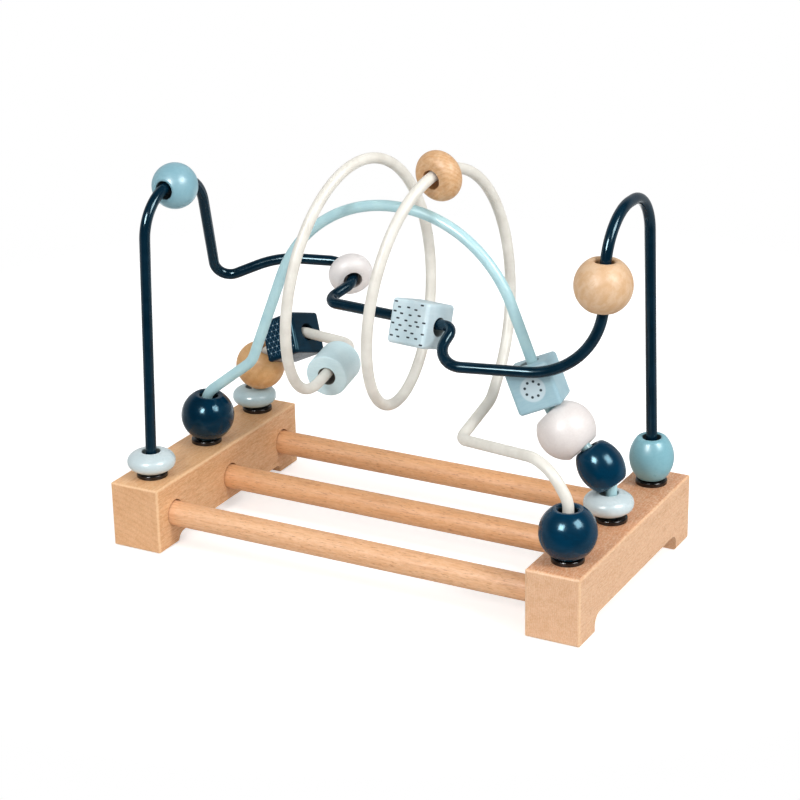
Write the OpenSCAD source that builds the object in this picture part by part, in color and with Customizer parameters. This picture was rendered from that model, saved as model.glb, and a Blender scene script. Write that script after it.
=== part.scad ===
// Bead maze: beads of painted and plain wood threaded on three bent wires, which stand in two
// beech end blocks that three dowels join. X runs along the toy, Y from front to back, Z up.
// The origin is on the floor, under the middle of the base. All sizes are in millimetres.

/* [Base] */
// Length over both end blocks
base_l = 285; // [270:1:320]
// Length of one end block, front to back
base_d = 150; // [140:1:180]
// Width of one end block
block_w = 31; // [28:0.5:38]
// Height of one end block
block_h = 38; // [34:0.5:46]
// Rounding of the blocks' edges
edge_r = 1.5; // [0.5:0.1:3]
// Length of each foot of a block, beside the hollow between them
foot_l = 19; // [15:0.5:30]
// Height of that hollow on the block's inner side
relief_in = 5.5; // [3:0.5:7]
// Height of that hollow on the block's outer side
relief_out = 10; // [8:0.5:11]
// Rounding of the hollow's two ends
relief_r = 6; // [2:0.5:7]

/* [Dowels] */
// Diameter of a dowel
dowel_d = 14; // [10:0.5:15]
// Depth to which a dowel is let into a block
dowel_in = 10; // [6:0.5:10]
// Distance of an outer dowel's axis from a block's end
dowel_edge = 17; // [15:0.5:25]
// Height of a dowel's axis
dowel_z = 19; // [18:0.5:20]

/* [Wires] */
// Diameter of the wire
wire_d = 6; // [5:0.25:6.5]
// Distance of an outer wire from a block's end
row_edge = 19; // [15:0.5:23]
// Depth to which a wire is let into a block
socket = 25; // [16:1:26]
// Height of the navy wire's left arch
left_arch_z = 199; // [185:1:210]
// Height of the navy wire's right arch
right_arch_z = 208; // [200:1:220]
// Height of the sky wire's arch
sky_arch_z = 194.5; // [190:0.5:200]
// Height at which the sky wire's arch begins
sky_z = 92; // [88:0.5:96]
// Height of the navy wire between its arches
navy_z = 128; // [124:0.5:132]
// Height of the cream wire before and after its spiral
cream_z = 91; // [88:0.5:94]
// Unit of the wires' bends, of which each bend radius is a multiple
bend_r = 10; // [9:0.25:11]

/* [Spiral of the cream wire] */
// Advance along X in one turn
spiral_pitch = 49; // [45:0.5:53]
// Width of the spiral, front to back
spiral_w = 102; // [96:1:110]
// Height of the spiral
spiral_h = 129; // [120:1:136]
// Height of the spiral's axis
spiral_z = 151.5; // [148:0.5:156]
// How much lower the spiral's front is than its back
spiral_dip = 14.5; // [8:0.5:18]
// How much the spiral's front stands to the left of its back
spiral_skew = 7.5; // [2:0.5:10]

/* [Collars] */
// Diameter of a collar's flange
collar_d = 17.5; // [14:0.5:20]
// Height of the flange
collar_h = 2.5; // [2:0.25:4]
// Diameter of the sleeve in the block
sleeve_d = 9; // [8:0.25:9.5]
// Length of the sleeve
sleeve_l = 9; // [4:0.5:10]

/* [Beads] */
// How much wider a bead's bore is than the wire
bead_play = 4; // [3.5:0.25:5]
// Diameter of a large ball
ball_d = 30.5; // [27:0.5:31]
// Diameter of the white ball
white_ball_d = 31.5; // [28:0.5:32]
// Diameter of the ball behind on the left
small_ball_d = 29; // [26:0.5:30]
// Diameter of the ball on the left arch
arch_ball_d = 25.5; // [24:0.5:28]
// Width of the flat round a ball's bore, with its two roundings
ball_flat = 3; // [1.5:0.25:3.5]
// The same on the white ball
white_flat = 4; // [1.5:0.25:4.5]
// The same on the ball of the left arch
arch_flat = 1.5; // [1:0.25:3]
// Diameter of a disc bead
disc_d = 27; // [24:0.5:29]
// Diameter of the disc bead behind on the left
back_disc_d = 26; // [23:0.5:28]
// Thickness of a disc bead
disc_t = 11.75; // [11:0.5:15]
// Diameter of the ring bead on the spiral
ring_d = 27.5; // [24:0.5:29]
// Diameter of the white ring bead
white_ring_d = 25; // [23:0.5:28]
// Thickness of a ring bead
ring_t = 13; // [10:0.5:14]
// Side of a cube
cube_s = 24.5; // [22:0.5:26]
// Rounding of a cube's edges
cube_r = 2; // [0.5:0.1:3]
// Diameter of a barrel
barrel_d = 24.5; // [22:0.5:27]
// Length of a barrel
barrel_l = 24; // [20:0.5:26]
// Diameter of the roll
roll_d = 24.5; // [22:0.5:27]
// Length of the roll
roll_l = 22; // [20:0.5:26]

/* [Hidden] */
$fn = 64;
// Room between glued pieces
glue = 0.1;
// Room round a dowel in its hole, in which the dowel lies low
dowel_room = 0.5;
// Room between a bead and what it rests on
rest = 0.4;
// Room along a wire between two beads where a bend tilts the upper one
ball_lean = 3.3;
barrel_lean = 4.15;
white_lean = 1.8;
cube_lean = 3.85;
// Largest turn between two rings of a wire
step = 10;
// Sides of a wire
sides = 16;

post_x = (base_l - block_w) / 2;
row_pitch = base_d / 2 - row_edge;
dowel_pitch = base_d / 2 - dowel_edge;
relief_l = base_d - 2 * foot_l;
// X of the spiral's first lowest point
spiral_x = -0.37 * post_x;
socket_z = block_h - socket;
bore_d = wire_d + bead_play;

// Point of the spiral after a turn of a degrees from its first lowest point
function spiral(a) = [
    spiral_x + spiral_pitch * a / 360 - spiral_skew / 2 * sin(a),
    -spiral_w / 2 * sin(a),
    spiral_z - spiral_h / 2 * cos(a) - spiral_dip / 2 * sin(a)
];
function unit(v) = v / norm(v);
// Part of a vector that is square to a direction
function across(v, u) = v - (v * u) * u;
// Direction of the spiral there, and a point d further on in that direction
function spiral_way(a) = unit(spiral(a + 0.5) - spiral(a - 0.5));
function beyond(a, d) = spiral(a) + d * spiral_way(a);

spiral_from = 57;
spiral_to = 690;

// Distance between the two upper corners of the sky wire's arch, and the radius of a bend there
// that takes the given share of it, next to a side that rises over the given run
arch_l = 0.807 * post_x;
function arch_r(share, rise_x) = share * arch_l / tan(atan2(sky_arch_z - sky_z, rise_x) / 2);

// Corners of each wire's route, as a point and the radius of the bend there
navy_route = [
    [[-post_x, -row_pitch, socket_z], 0],
    [[-post_x, -row_pitch, block_h + 1.4 * bend_r], 6 * bend_r],
    [[-post_x + 0.3 * bend_r, -0.94 * row_pitch, left_arch_z], 0.455 * row_pitch],
    [[-post_x + 0.4 * bend_r, 0, left_arch_z], 0.446 * row_pitch],
    [[-post_x - 0.1 * bend_r, 0.366 * row_pitch, navy_z + 0.15 * bend_r], 0.9 * bend_r],
    [[-0.74 * post_x, 0.589 * row_pitch, navy_z + 1.65 * bend_r], 6.2 * bend_r],
    [[-0.496 * post_x, 0.714 * row_pitch, navy_z + 1.65 * bend_r], 1.2 * bend_r],
    [[-0.312 * post_x, 0.79 * row_pitch, navy_z + 1.25 * bend_r], 1.25 * bend_r],
    [[-0.406 * post_x, 0.207 * row_pitch, navy_z + 0.26 * bend_r], 0.7 * bend_r],
    [[0.281 * post_x, -0.039 * row_pitch, navy_z + 0.47 * bend_r], 0.55 * bend_r],
    [[0.254 * post_x, -0.42 * row_pitch, navy_z - bend_r], 1.3 * bend_r],
    [[post_x - 0.25 * bend_r, -0.195 * row_pitch, navy_z - 0.65 * bend_r], 4.25 * bend_r],
    [[post_x, -0.22 * row_pitch, right_arch_z], 0.51 * row_pitch],
    [[post_x, 0.777 * row_pitch, right_arch_z], 0.435 * row_pitch],
    [[post_x, row_pitch, block_h + 1.4 * bend_r], 6 * bend_r],
    [[post_x, row_pitch, socket_z], 0],
];

sky_route = [
    [[-post_x, 0, socket_z], 0],
    [[-post_x, 0, block_h + 0.4 * bend_r], 4 * bend_r],
    [[-post_x + 0.1 * bend_r, 0, block_h + 2.93 * bend_r], 1.4 * bend_r],
    [[-0.7362 * post_x, 0, sky_z + 0.05 * bend_r], 1.6 * bend_r],
    [[-0.4134 * post_x, 0, sky_arch_z], arch_r(0.507, 0.3228 * post_x)],
    [[0.3936 * post_x, 0, sky_arch_z], arch_r(0.477, 0.3308 * post_x)],
    [[0.7244 * post_x, 0, sky_z], 3 * bend_r],
    [[post_x, 0, block_h + 2.7 * bend_r], 2 * bend_r],
    [[post_x, 0, socket_z], 0],
];

// Corners before the spiral, and the radius of the widest bend at b that fits before c
hook = [-0.437 * post_x, 0.866 * row_pitch, cream_z + 0.18 * bend_r];
loop_in = beyond(spiral_from, -2.87 * bend_r);
function widest_r(a, b, c) = 0.97 * norm(c - b) / tan(acos(unit(b - a) * unit(c - b)) / 2);

cream_start = [
    [[-post_x, row_pitch, socket_z], 0],
    [[-post_x, row_pitch, block_h + 3.2 * bend_r], 2.4 * bend_r],
    [[-0.753 * post_x, 0.982 * row_pitch, cream_z + 0.2 * bend_r], 2 * bend_r],
    [hook, 1.1 * bend_r],
    [loop_in, widest_r(hook, loop_in, spiral(spiral_from))],
    [spiral(spiral_from), 0],
];

cream_end = [
    [spiral(spiral_to), 0],
    [beyond(spiral_to, 1.6 * bend_r), 2.2 * bend_r],
    [[0.382 * post_x, -0.384 * row_pitch, cream_z - 1.3 * bend_r], 0.8 * bend_r],
    [[post_x - 1.25 * bend_r, -0.991 * row_pitch, cream_z - 0.05 * bend_r], 2.2 * bend_r],
    [[post_x, -row_pitch, cream_z - 2.05 * bend_r], 1.4 * bend_r],
    [[post_x, -row_pitch, socket_z], 0],
];

// Angle by which a route turns at corner i, and the length that its bend takes from each side
function turn(r, i) = acos(unit(r[i][0] - r[i - 1][0]) * unit(r[i + 1][0] - r[i][0]));
function cut(r, i) = i == 0 || i == len(r) - 1 ? 0 : r[i][1] * tan(turn(r, i) / 2);
function pieces(r, i) = max(1, ceil(turn(r, i) / step));

// Points of the bend at corner i
function bend(r, i) =
    let (
        a = turn(r, i) / pieces(r, i),
        u = unit(r[i][0] - r[i - 1][0]),
        w = unit(r[i + 1][0] - r[i][0]),
        inward = unit(across(w, u))
    )
    [for (k = [0:pieces(r, i)])
        r[i][0] - cut(r, i) * u + r[i][1] * (sin(a * k) * u + (1 - cos(a * k)) * inward)];

// Centre line of a route, with its bends
function line(r) = concat([r[0][0]], [for (i = [1:len(r) - 2]) each bend(r, i)], [r[len(r) - 1][0]]);

// Length along a line to the middle of the straight run after corner i
function run(r, i) = norm(r[i + 1][0] - r[i][0]) - cut(r, i) - cut(r, i + 1);
function bent(r, i) = i == 0 ? 0 : 2 * pieces(r, i) * r[i][1] * sin(turn(r, i) / pieces(r, i) / 2);
function to_run(r, i, k = 0) =
    k == i ? bent(r, i) + run(r, i) / 2 : bent(r, k) + run(r, k) + to_run(r, i, k + 1);

navy_line = line(navy_route);
sky_line = line(sky_route);
spiral_line = [for (k = [1:floor((spiral_to - spiral_from - 1) / step)]) spiral(spiral_from + k * step)];
cream_line = concat(line(cream_start), spiral_line, line(cream_end));

// The same line from its other end
function back(p) = [for (i = [len(p) - 1:-1:0]) p[i]];

// Point at length s along a line
function at(p, s, i = 0) =
    let (d = norm(p[i + 1] - p[i]))
    s <= d || i == len(p) - 2 ? p[i] + (p[i + 1] - p[i]) * s / d : at(p, s - d, i + 1);

// Seat of a bead with a bore of length l at length s along a line: its middle and its axis.
// The bead hangs the given way on the wire, by as much of its play as the wire's bow leaves
// and the slant of the wire at the bore's ends, or it lies as level as its bore lets it.
function seat(p, s, l, way = [0, 0, -1], level = false) =
    let (
        q = [for (k = [-4:4]) at(p, s + k * l / 8)],
        chord = unit(q[8] - q[0]),
        off = [for (v = q) across(v - q[0], chord)],
        bow = max([for (v = off) norm(v)]),
        bow_way = bow < 0.01 ? [0, 0, 0] : [for (v = off) if (norm(v) == bow) v / bow][0],
        straight = min(unit(q[1] - q[0]) * chord, unit(q[8] - q[7]) * chord),
        slant = wire_d / 2 * (1 / straight - 1),
        play = bead_play / 2 - rest,
        taken = min(play, (bow + slant) / 2),
        drop = across(way, chord),
        tip = level ? asin(min(-chord[2], 2 * (play - taken) / l)) : 0,
        hang = level || norm(drop) < 0.2 ? 0 : (play - taken) / norm(drop)
    )
    [
        (q[0] + q[8]) / 2 + (bow - slant) / 2 * bow_way + hang * drop,
        level ? unit(chord - tan(tip) * unit(drop)) : chord
    ];

// Directions square to a line, carried along it without twist
function carried(t, v, i = 0) =
    i == len(t) - 1 ? [v]
    : concat([v], carried(t, unit(across(v, t[i + 1])), i + 1));

// Wire along a centre line
module wire(p) {
    n = len(p);
    along = [for (i = [0:n - 1]) unit(p[min(i + 1, n - 1)] - p[max(i - 1, 0)])];
    side = carried(along, [0, 1, 0]);
    points = [
        for (i = [0:n - 1], k = [0:sides - 1])
            p[i] + wire_d / 2 * (cos(360 * k / sides) * side[i]
                + sin(360 * k / sides) * cross(along[i], side[i]))
    ];
    skin = [
        for (i = [0:n - 2], k = [0:sides - 1])
            let (a = i * sides + k, b = i * sides + (k + 1) % sides)
            each [[a, a + sides, b], [b, a + sides, b + sides]]
    ];
    caps = [[for (k = [0:sides - 1]) k], [for (k = [sides - 1:-1:0]) (n - 1) * sides + k]];
    polyhedron(points, concat(skin, caps));
}

module navy_wire() {
    color("#12324a") wire(navy_line);
}

module sky_wire() {
    color("#a9d3dc") wire(sky_line);
}

module cream_wire() {
    color("#e9e5dc") wire(cream_line);
}

// Rectangle about the origin with rounded corners
module rounded(w, h, r) {
    square([w - 2 * r, h], center = true);
    square([w, h - 2 * r], center = true);
    for (x = [-1, 1], y = [-1, 1])
        translate([x * (w / 2 - r), y * (h / 2 - r)])
            circle(r);
}

// Box about the origin with rounded edges
module soft_box(x, y, z, r) {
    intersection() {
        linear_extrude(z, center = true)
            rounded(x, y, r);
        rotate([90, 0, 0])
            linear_extrude(y, center = true)
                rounded(x, z, r);
        rotate([90, 0, 90])
            linear_extrude(x, center = true)
                rounded(y, z, r);
    }
}

// Hollow between a block's feet, rising to the outer side at -X
module relief() {
    slope = atan((relief_out - relief_in) / block_w);
    middle = (relief_out + relief_in) / 2;
    translate([0, 0, middle])
        rotate([0, slope, 0])
            rotate([90, 0, 90])
                linear_extrude(2 * block_w, center = true)
                    translate([0, -block_h / 2])
                        rounded(relief_l, block_h, relief_r);
}

// End block with its outer side at -X, before it is placed
module block() {
    difference() {
        translate([0, 0, block_h / 2])
            soft_box(block_w, base_d, block_h, edge_r);
        relief();
        for (y = [-1, 0, 1]) {
            translate([0, y * row_pitch, socket_z - glue])
                cylinder(d = wire_d + 2 * glue, h = socket + 1);
            translate([0, y * row_pitch, block_h - sleeve_l - glue])
                cylinder(d = sleeve_d + 2 * glue, h = sleeve_l + 1);
            translate([block_w / 2 - dowel_in - glue, y * dowel_pitch, dowel_z])
                rotate([0, 90, 0])
                    cylinder(d = dowel_d + 2 * dowel_room, h = dowel_in + 1);
        }
    }
}

module left_block() {
    color("#dba877")
        translate([-post_x, 0, 0])
            block();
}

module right_block() {
    color("#dba877")
        translate([post_x, 0, 0])
            rotate([0, 0, 180])
                block();
}

module dowel(y) {
    length = base_l - 2 * block_w + 2 * dowel_in;
    color("#d89a63")
        translate([-length / 2, y, dowel_z - dowel_room + glue])
            rotate([0, 90, 0])
                cylinder(d = dowel_d, h = length);
}

// Collar round a wire, on top of a block
module collar(x, y) {
    lip = min(1, collar_h / 3);
    color("#1b1b1d")
        translate([x, y, block_h])
            rotate_extrude() {
                difference() {
                    union() {
                        translate([0, glue])
                            square([collar_d / 2, collar_h - lip - glue]);
                        square([collar_d / 2 - lip, collar_h]);
                        translate([collar_d / 2 - lip, collar_h - lip])
                            circle(lip);
                        translate([0, -sleeve_l])
                            square([sleeve_d / 2, sleeve_l + lip]);
                    }
                    translate([-1, -sleeve_l - 1])
                        square([1 + wire_d / 2 + glue, sleeve_l + collar_h + 2]);
                }
            }
}

// Puts a bead that is drawn about the Z axis on its seat, turned by roll about the wire
module on(place, roll = 0) {
    side = abs(place[1][2]) > 0.9 ? unit(cross([0, 1, 0], place[1])) : unit(cross(place[1], [0, 0, 1]));
    up = cross(place[1], side);
    multmatrix([
        [side[0], up[0], place[1][0], place[0][0]],
        [side[1], up[1], place[1][1], place[0][1]],
        [side[2], up[2], place[1][2], place[0][2]],
        [0, 0, 0, 1]
    ])
        rotate([0, 0, roll])
            children();
}

// What a bore of length l takes from a bead's profile, with its edges rounded to the radius mouth
module bore_profile(l, mouth) {
    translate([-bore_d, -l])
        square([1.5 * bore_d, 2 * l]);
    for (y = [-1, 1])
        translate([bore_d / 2, y * l / 2])
            difference() {
                square(2 * mouth, center = true);
                translate([mouth, -y * mouth])
                    circle(mouth);
            }
}

// Round bead of diameter d and length l, with a side of radius belly and rounded lips
module round_bead(d, l, belly, lip, mouth = 0.8) {
    tilt = asin((l / 2 - lip) / (belly - lip));
    lip_x = d / 2 - belly + (belly - lip) * cos(tilt);
    rotate_extrude()
        difference() {
            union() {
                intersection() {
                    translate([d / 2 - belly, 0])
                        circle(belly, $fn = 96);
                    translate([0, -belly * sin(tilt)])
                        square([d, 2 * belly * sin(tilt)]);
                }
                for (y = [-1, 1])
                    translate([lip_x, y * (l / 2 - lip)])
                        circle(lip);
                translate([0, -l / 2])
                    square([lip_x, l]);
            }
            bore_profile(l, mouth);
        }
}

// Flattened bead of diameter d and length l, with a rim of radius belly between flatter shoulders
module oval_bead(d, l, belly, shoulder, mouth = 0.8) {
    tilt = asin((shoulder - l / 2) / (shoulder - belly));
    middle_x = d / 2 - belly - (shoulder - belly) * cos(tilt);
    rotate_extrude()
        difference() {
            union() {
                intersection() {
                    translate([middle_x, l / 2 - shoulder])
                        circle(shoulder, $fn = 96);
                    translate([middle_x, shoulder - l / 2])
                        circle(shoulder, $fn = 96);
                    translate([0, -l])
                        square([d / 2 - belly * (1 - cos(tilt)), 2 * l]);
                }
                translate([d / 2 - belly, 0])
                    circle(belly);
                translate([0, -l / 2])
                    square([middle_x, l]);
            }
            bore_profile(l, mouth);
        }
}

// Length of a ball of diameter d between its flats, and the rounding of its bore's edges
function ball_l(d, flat = ball_flat) = 2 * sqrt(pow(d / 2, 2) - pow(bore_d / 2 + flat, 2));

module ball(d, flat = ball_flat) {
    round_bead(d, ball_l(d, flat), d / 2, 0.4 * flat, 0.6 * flat);
}

module disc(d = disc_d) {
    oval_bead(d, disc_t, 0.39 * disc_t, 0.85 * disc_t);
}

module ring(d) {
    round_bead(d, ring_t, ring_t / 2 + 0.5, 4);
}

module barrel() {
    round_bead(barrel_d, barrel_l, 0.75 * barrel_l, 2.5);
}

module roll() {
    difference() {
        rotate_extrude() {
            square([roll_d / 2 - 1, roll_l / 2]);
            square([roll_d / 2, roll_l / 2 - 1]);
            translate([roll_d / 2 - 1, roll_l / 2 - 1])
                circle(1);
            mirror([0, 1]) {
                square([roll_d / 2 - 1, roll_l / 2]);
                square([roll_d / 2, roll_l / 2 - 1]);
                translate([roll_d / 2 - 1, roll_l / 2 - 1])
                    circle(1);
            }
        }
        cylinder(d = bore_d, h = 2 * roll_l, center = true);
    }
}

module cube_bead() {
    difference() {
        soft_box(cube_s, cube_s, cube_s, cube_r);
        cylinder(d = bore_d, h = 2 * cube_s, center = true);
    }
}

// Length along a wire to the top of its collar
foot = socket + collar_h + rest;

left_front_disc_seat = seat(navy_line, foot + disc_t / 2, disc_t);
arch_ball_seat = seat(navy_line, to_run(navy_route, 2), ball_l(arch_ball_d, arch_flat));
white_ring_s = to_run(navy_route, 7) - run(navy_route, 7) / 2 - bent(navy_route, 7) / 2;
white_ring_seat = seat(navy_line, white_ring_s, ring_t, level = true);
dash_cube_s = to_run(navy_route, 8) + 0.28 * run(navy_route, 8);
dash_cube_seat = seat(navy_line, dash_cube_s, cube_s);
right_ball_seat = seat(navy_line, to_run(navy_route, 11) + 5 * rest, ball_l(ball_d), [0, -1, 0]);
right_back_barrel_seat = seat(back(navy_line), foot + rest + barrel_l / 2, barrel_l);

left_middle_ball_seat = seat(sky_line, foot + 2.6 * rest + ball_l(ball_d) / 2, ball_l(ball_d), [1, 0, 0]);
right_middle_disc_s = foot + 2 * rest + disc_t / 2;
navy_barrel_s = right_middle_disc_s + disc_t / 2 + barrel_lean + barrel_l / 2;
white_ball_s = navy_barrel_s + barrel_l / 2 + white_lean + ball_l(white_ball_d, white_flat) / 2;
print_cube_s = white_ball_s + ball_l(white_ball_d, white_flat) / 2 + cube_lean + cube_s / 2;
right_middle_disc_seat = seat(back(sky_line), right_middle_disc_s, disc_t, [-1, 0, 0]);
navy_barrel_seat = seat(back(sky_line), navy_barrel_s, barrel_l);
white_ball_seat = seat(back(sky_line), white_ball_s, ball_l(white_ball_d, white_flat));
print_cube_seat = seat(back(sky_line), print_cube_s, cube_s);

left_back_disc_s = foot + disc_t / 2;
left_back_ball_s = left_back_disc_s + disc_t / 2 + ball_lean + ball_l(small_ball_d) / 2;
dark_cube_s = left_back_ball_s + small_ball_d / 2 + 2 * ball_lean + cube_s / 2;
left_back_disc_seat = seat(cream_line, left_back_disc_s, disc_t, [-1, 0, 0]);
left_back_ball_seat = seat(cream_line, left_back_ball_s, ball_l(small_ball_d));
dark_cube_seat = seat(cream_line, dark_cube_s, cube_s);
roll_seat = seat(cream_line, to_run(cream_start, 3), roll_l);
spiral_ring_a = 537;
spiral_ring_seat = seat([for (k = [-4:4]) spiral(spiral_ring_a + 5 * k)], 22, ring_t);
right_front_ball_seat = seat(back(cream_line), foot + ball_l(ball_d) / 2, ball_l(ball_d));

left_block();
right_block();
dowel(-dowel_pitch);  // front_dowel
dowel(0);  // middle_dowel
dowel(dowel_pitch);  // back_dowel
navy_wire();
sky_wire();
cream_wire();
collar(-post_x, -row_pitch);  // left_front_collar
collar(-post_x, 0);  // left_middle_collar
collar(-post_x, row_pitch);  // left_back_collar
collar(post_x, -row_pitch);  // right_front_collar
collar(post_x, 0);  // right_middle_collar
collar(post_x, row_pitch);  // right_back_collar
color("#d3e2e6") on(left_front_disc_seat) disc();  // left_front_disc
color("#8fbfcc") on(arch_ball_seat) ball(arch_ball_d, arch_flat);  // arch_ball
color("#ece8e6") on(white_ring_seat) ring(white_ring_d);  // white_ring
color("#c3dfe6") on(dash_cube_seat, -18) cube_bead();  // dash_cube
color("#dcb583") on(right_ball_seat) ball(ball_d);  // right_ball
color("#8bb9c4") on(right_back_barrel_seat) barrel();  // right_back_barrel
color("#17405e") on(left_middle_ball_seat) ball(ball_d);  // left_middle_ball
color("#9cc8d4") on(print_cube_seat, 14) cube_bead();  // print_cube
color("#ece8e6") on(white_ball_seat) ball(white_ball_d, white_flat);  // white_ball
color("#17405e") on(navy_barrel_seat, 90) barrel();  // navy_barrel
color("#d3e2e6") on(right_middle_disc_seat) disc();  // right_middle_disc
color("#bdd0d6") on(left_back_disc_seat) disc(back_disc_d);  // left_back_disc
color("#c98f58") on(left_back_ball_seat) ball(small_ball_d);  // left_back_ball
color("#12324a") on(dark_cube_seat, -18) cube_bead();  // dark_cube
color("#c6dbe0") on(roll_seat) roll();  // pale_roll
color("#dcb583") on(spiral_ring_seat) ring(ring_d);  // spiral_ring
color("#17405e") on(right_front_ball_seat) ball(ball_d);  // right_front_ball
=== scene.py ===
import bmesh
import bpy
import math
from mathutils import Matrix, Vector


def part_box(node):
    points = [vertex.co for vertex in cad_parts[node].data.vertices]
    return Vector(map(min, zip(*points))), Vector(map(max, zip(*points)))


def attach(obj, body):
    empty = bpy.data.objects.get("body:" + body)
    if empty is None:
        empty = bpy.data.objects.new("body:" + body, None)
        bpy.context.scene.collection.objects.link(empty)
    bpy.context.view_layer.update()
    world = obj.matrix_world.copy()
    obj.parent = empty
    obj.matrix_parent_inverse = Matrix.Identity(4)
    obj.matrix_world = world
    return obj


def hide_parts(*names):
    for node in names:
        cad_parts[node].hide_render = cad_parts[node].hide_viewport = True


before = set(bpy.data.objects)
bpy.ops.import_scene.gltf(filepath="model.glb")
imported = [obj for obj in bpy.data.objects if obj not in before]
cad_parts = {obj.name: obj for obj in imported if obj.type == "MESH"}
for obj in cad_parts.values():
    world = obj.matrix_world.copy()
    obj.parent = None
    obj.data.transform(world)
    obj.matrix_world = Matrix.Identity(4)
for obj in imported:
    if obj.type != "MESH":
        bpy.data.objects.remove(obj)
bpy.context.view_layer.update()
scene = bpy.context.scene
scene.view_settings.view_transform = "Standard"
mm = 0.001


# node helpers
def put(tree, kind, sockets={}, **settings):
    made = tree.nodes.new(kind)
    for key, value in settings.items():
        setattr(made, key, value)
    for key, value in sockets.items():
        if isinstance(value, bpy.types.NodeSocket):
            tree.links.new(value, made.inputs[key])
        else:
            made.inputs[key].default_value = value
    return made


def paint(code):  # web colour to the linear one that a socket takes
    parts = [int(code[i:i + 2], 16) / 255 for i in (0, 2, 4)]
    return [((c + 0.055) / 1.055) ** 2.4 if c > 0.04045 else c / 12.92 for c in parts] + [1]


def calc(tree, operation, *values):
    return put(tree, "ShaderNodeMath", dict(enumerate(values)), operation=operation).outputs[0]


def vectorCalc(tree, operation, *values):
    made = put(tree, "ShaderNodeVectorMath", dict(enumerate(values)), operation=operation).outputs
    return made["Value" if operation in ("DOT_PRODUCT", "DISTANCE", "LENGTH") else "Vector"]


def apart(tree, vector):  # the three parts of a vector
    return put(tree, "ShaderNodeSeparateXYZ", {0: vector}).outputs


def fade(tree, value, low, high, toLow=0.0, toHigh=1.0):
    sockets = {"Value": value, "From Min": low, "From Max": high, "To Min": toLow, "To Max": toHigh}
    return put(tree, "ShaderNodeMapRange", sockets, interpolation_type="SMOOTHSTEP").outputs[0]


def blendColours(tree, share, first, second, how="MIX"):
    made = put(tree, "ShaderNodeMix", {0: share, 6: first, 7: second}, data_type="RGBA", blend_type=how)
    return made.outputs[2]


def speckle(tree, where, size, detail=3.0, rough=0.55):  # noise with features of that size
    sockets = {"Vector": where, "Scale": 1 / size, "Detail": detail, "Roughness": rough}
    return put(tree, "ShaderNodeTexNoise", sockets).outputs[0]


def stretched(tree, where, scale, turn=(0, 0, 0), move=(0, 0, 0)):
    sockets = {"Vector": where, "Location": move, "Rotation": turn, "Scale": scale}
    return put(tree, "ShaderNodeMapping", sockets).outputs[0]


def raised(tree, height, strength, distance):
    sockets = {"Height": height, "Strength": strength, "Distance": distance}
    return put(tree, "ShaderNodeBump", sockets).outputs[0]


def newFinish(name):
    material = bpy.data.materials.new(name)
    material.use_nodes = True
    return material, material.node_tree, material.node_tree.nodes["Principled BSDF"]


# camera at the photograph's angle
shot = {"azimuth": 28.5464, "elevation": 21.159, "roll": -1.0616, "distance": 1.2479,
        "aside": 0.000488, "rise": -0.078913, "lens": 100.08}


def setCamera(view):
    a, e, r = (math.radians(view[k]) for k in ("azimuth", "elevation", "roll"))
    back = Vector((math.sin(a) * math.cos(e), -math.cos(a) * math.cos(e), math.sin(e)))
    right = Vector((math.cos(a), math.sin(a), 0))
    up = back.cross(right)
    right, up = math.cos(r) * right + math.sin(r) * up, math.cos(r) * up - math.sin(r) * right
    turn = Matrix((right, up, back)).transposed()
    place = turn @ Vector((-view["aside"], -view["rise"], view["distance"]))
    lens = bpy.data.cameras.new("camera")
    lens.lens, lens.sensor_width = view["lens"], 36
    lens.clip_start, lens.clip_end = 0.05, 60
    camera = bpy.data.objects.new("camera", lens)
    scene.collection.objects.link(camera)
    camera.matrix_world = Matrix.Translation(place) @ turn.to_4x4()
    scene.camera = camera


setCamera(shot)

# white sweep and lamps: two lamps light the toy, and two panels only show in its gloss
studio = {"fill": 0.68, "sweepGloss": 0.5, "roomDark": 0.04, "roomWay": (0.35, -0.65, 0.68),
          "roomEdge": (-0.2, 0.3), "target": (0, 0, 0.08)}
frontLamp = {"name": "frontLamp", "from": (-0.04, -0.815, 0.58), "away": 1.9, "size": 0.42, "power": 9.6}
rightLamp = {"name": "rightLamp", "from": (0.77, -0.16, 0.62), "away": 1.9, "size": 0.55, "power": 17.5}
frontPanel = {"name": "frontPanel", "from": (-0.04, -0.815, 0.58), "away": 1.8, "size": 0.6, "power": 42}
rightPanel = {"name": "rightPanel", "from": (0.75, -0.13, 0.65), "away": 1.8, "size": 0.8, "power": 34}


def lightRoom(look):
    world = bpy.data.worlds.new("studio")
    scene.world = world
    world.use_nodes = True
    tree = world.node_tree
    tree.nodes.clear()
    path = put(tree, "ShaderNodeLightPath").outputs
    way = put(tree, "ShaderNodeTexCoord").outputs["Generated"]
    ahead = vectorCalc(tree, "DOT_PRODUCT", way, look["roomWay"])
    room = fade(tree, ahead, *look["roomEdge"])  # the dark room in front of the sweep
    mirrored = calc(tree, "MAXIMUM", path["Is Glossy Ray"], path["Is Transmission Ray"])
    dark = calc(tree, "MULTIPLY", room, mirrored)
    seen = calc(tree, "MAXIMUM", mirrored, path["Is Camera Ray"])
    # white to the camera, grey in gloss, nearly black where gloss mirrors the room
    level = calc(tree, "MULTIPLY_ADD", mirrored, look["sweepGloss"] - 1, 1.0)
    level = calc(tree, "MULTIPLY_ADD", dark, look["roomDark"] - look["sweepGloss"], level)
    sweep = put(tree, "ShaderNodeBackground", {0: (1, 1, 1, 1), 1: level})
    light = put(tree, "ShaderNodeBackground", {0: (1, 1, 1, 1), 1: look["fill"]})
    both = put(tree, "ShaderNodeMixShader", {0: seen, 1: light.outputs[0], 2: sweep.outputs[0]})
    put(tree, "ShaderNodeOutputWorld", {0: both.outputs[0]})


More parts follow.
